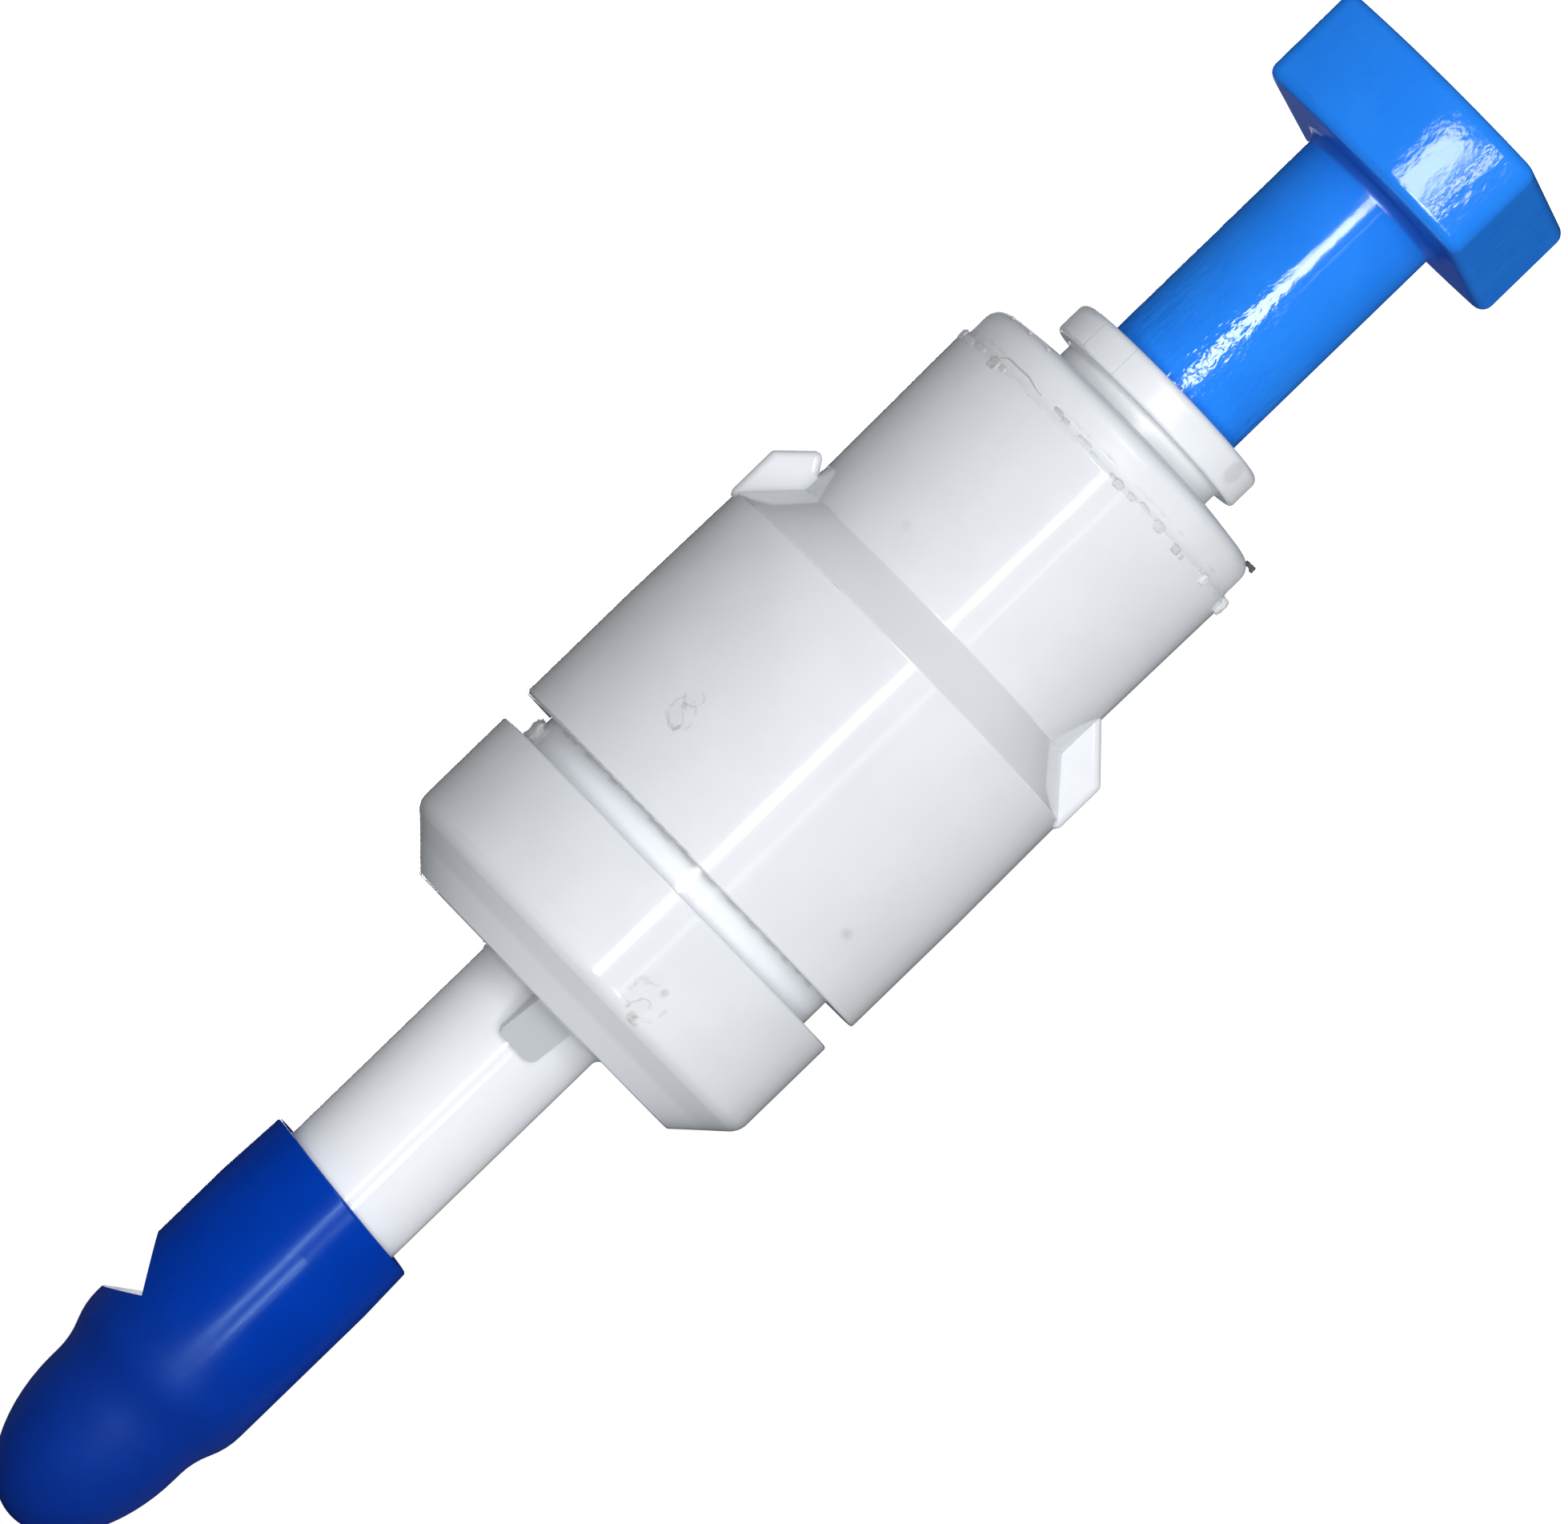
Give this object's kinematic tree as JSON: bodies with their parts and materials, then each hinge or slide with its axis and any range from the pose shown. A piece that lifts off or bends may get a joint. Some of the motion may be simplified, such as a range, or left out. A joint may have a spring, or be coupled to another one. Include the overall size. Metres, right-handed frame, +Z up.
{
  "type": "disinfection cartridge",
  "caption": "In-line cartridge with a push-in tube socket, a packed resin barrel and a plain stem, closed for transport by a square-headed plug and a soft stem cap.",
  "frame": {"origin": "centre of the flat outer face of the plug's square head, which the cartridge stands on", "axes": "+Z up the cartridge's axis from the plug's head to the tip of the stem cap, +X through the lug whose tip a notch parts from the neck"},
  "size_m": [0.0178, 0.0176, 0.0761],
  "materials": {
    "moulded_white": "moulded semi-gloss",
    "collet_white": "moulded semi-gloss",
    "plug_blue": "moulded gloss",
    "cap_blue": "soft dipped vinyl, satin",
    "tooth_steel": "spring steel strip",
    "seal_rubber": "smooth nitrile",
    "plate_white": "moulded matt",
    "pad_felt": "needled felt",
    "resin": "packed resin beads"
  },
  "bodies": {
    "cartridge": {"housing": "moulded_white", "socket_cap": "moulded_white", "base_cap": "moulded_white", "collet_sleeve": "collet_white", "ring_spacer": "collet_white", "sealing_ring": "seal_rubber", "inner_flow_plate": "plate_white", "inner_filter_pad": "pad_felt", "resin_bed": "resin", "outer_filter_pad": "pad_felt", "outer_flow_plate": "plate_white"},
    "collet": {"collet": "collet_white", "grip_tooth_1": "tooth_steel", "grip_tooth_2": "tooth_steel", "grip_tooth_3": "tooth_steel", "grip_tooth_4": "tooth_steel", "grip_tooth_5": "tooth_steel", "grip_tooth_6": "tooth_steel"},
    "plug": {"shipping_plug": "plug_blue"},
    "cap": {"stem_cap": "cap_blue"}
  },
  "joints": [
    {"name": "plug_pull", "type": "slide", "parent": "cartridge", "child": "plug", "axis": [0, 0, -1], "range_m": [0, 0.0155]},
    {"name": "collet_press", "type": "slide", "parent": "cartridge", "child": "collet", "axis": [0, 0, 1], "range_m": [0, 0.0007]},
    {"name": "cap_pull", "type": "slide", "parent": "cartridge", "child": "cap", "axis": [0, 0, 1], "range_m": [0, 0.008]}
  ]
}
